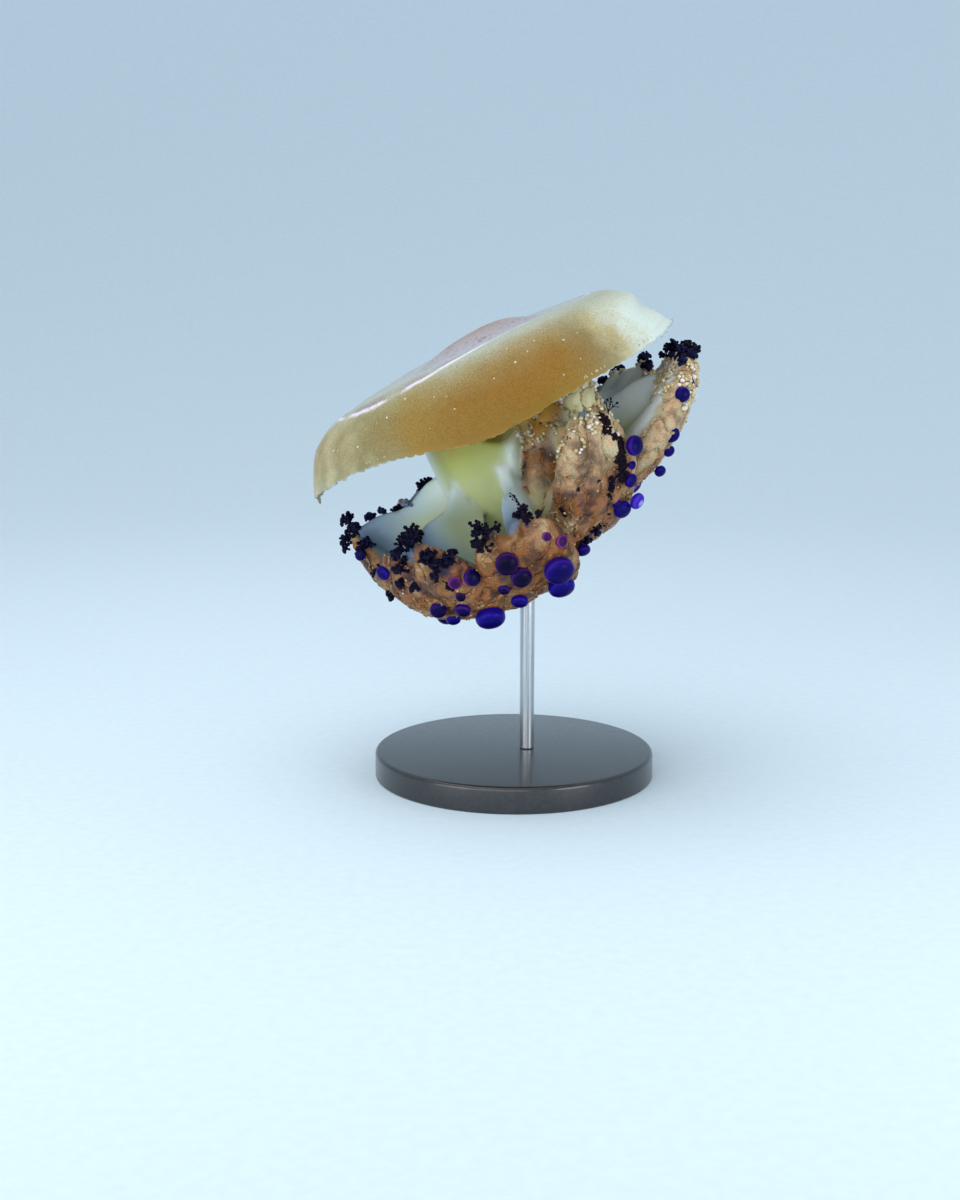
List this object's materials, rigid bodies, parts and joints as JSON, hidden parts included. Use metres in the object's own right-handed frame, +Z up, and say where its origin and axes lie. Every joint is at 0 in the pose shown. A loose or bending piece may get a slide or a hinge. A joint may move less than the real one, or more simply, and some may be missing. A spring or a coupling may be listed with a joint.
{
  "type": "fried-egg jellyfish figure",
  "caption": "Life-size fried-egg jellyfish: a domed ochre bell over a pillared stem and frilled arms with violet buttons, banked on a round display stand.",
  "frame": {"origin": "centre of the stand's flat underside", "axes": "+Z up out of the base; -Y towards the viewer; the animal's bell leans towards -X, so its right-hand edge is the higher one"},
  "size_m": [0.1138, 0.115, 0.147],
  "materials": {
    "bell_flesh": "wet jelly, ochre",
    "margin_flesh": "wet jelly, pale",
    "stem_flesh": "wet jelly, pale yellow-green",
    "arm_flesh": "wet jelly, bluish white",
    "frill_flesh": "soft, finely ruffled, orange-brown with violet buttons",
    "base_lacquer": "satin black lacquer",
    "rod_steel": "brushed"
  },
  "bodies": {
    "root": {"bell_crown": "bell_flesh", "bell_rim_1": "bell_flesh", "bell_lappets_1": "margin_flesh", "bell_rim_2": "bell_flesh", "bell_lappets_2": "margin_flesh", "bell_rim_3": "bell_flesh", "bell_lappets_3": "margin_flesh", "bell_rim_4": "bell_flesh", "bell_lappets_4": "margin_flesh", "bell_rim_5": "bell_flesh", "bell_lappets_5": "margin_flesh", "bell_rim_6": "bell_flesh", "bell_lappets_6": "margin_flesh", "bell_rim_7": "bell_flesh", "bell_lappets_7": "margin_flesh", "bell_rim_8": "bell_flesh", "bell_lappets_8": "margin_flesh", "arm_disc": "stem_flesh", "pillar_1": "stem_flesh", "pillar_2": "stem_flesh", "pillar_3": "stem_flesh", "pillar_4": "stem_flesh", "arm_1_blade": "arm_flesh", "arm_1_frill_a": "frill_flesh", "arm_1_frill_b": "frill_flesh", "arm_2_blade": "arm_flesh", "arm_2_frill_a": "frill_flesh", "arm_2_frill_b": "frill_flesh", "arm_3_blade": "arm_flesh", "arm_3_frill_a": "frill_flesh", "arm_3_frill_b": "frill_flesh", "arm_4_blade": "arm_flesh", "arm_4_frill_a": "frill_flesh", "arm_4_frill_b": "frill_flesh", "arm_5_blade": "arm_flesh", "arm_5_frill_a": "frill_flesh", "arm_5_frill_b": "frill_flesh", "arm_6_blade": "arm_flesh", "arm_6_frill_a": "frill_flesh", "arm_6_frill_b": "frill_flesh", "arm_7_blade": "arm_flesh", "arm_7_frill_a": "frill_flesh", "arm_7_frill_b": "frill_flesh", "arm_8_blade": "arm_flesh", "arm_8_frill_a": "frill_flesh", "arm_8_frill_b": "frill_flesh", "stand_base": "base_lacquer", "stand_rod": "rod_steel"}
  },
  "joints": []
}
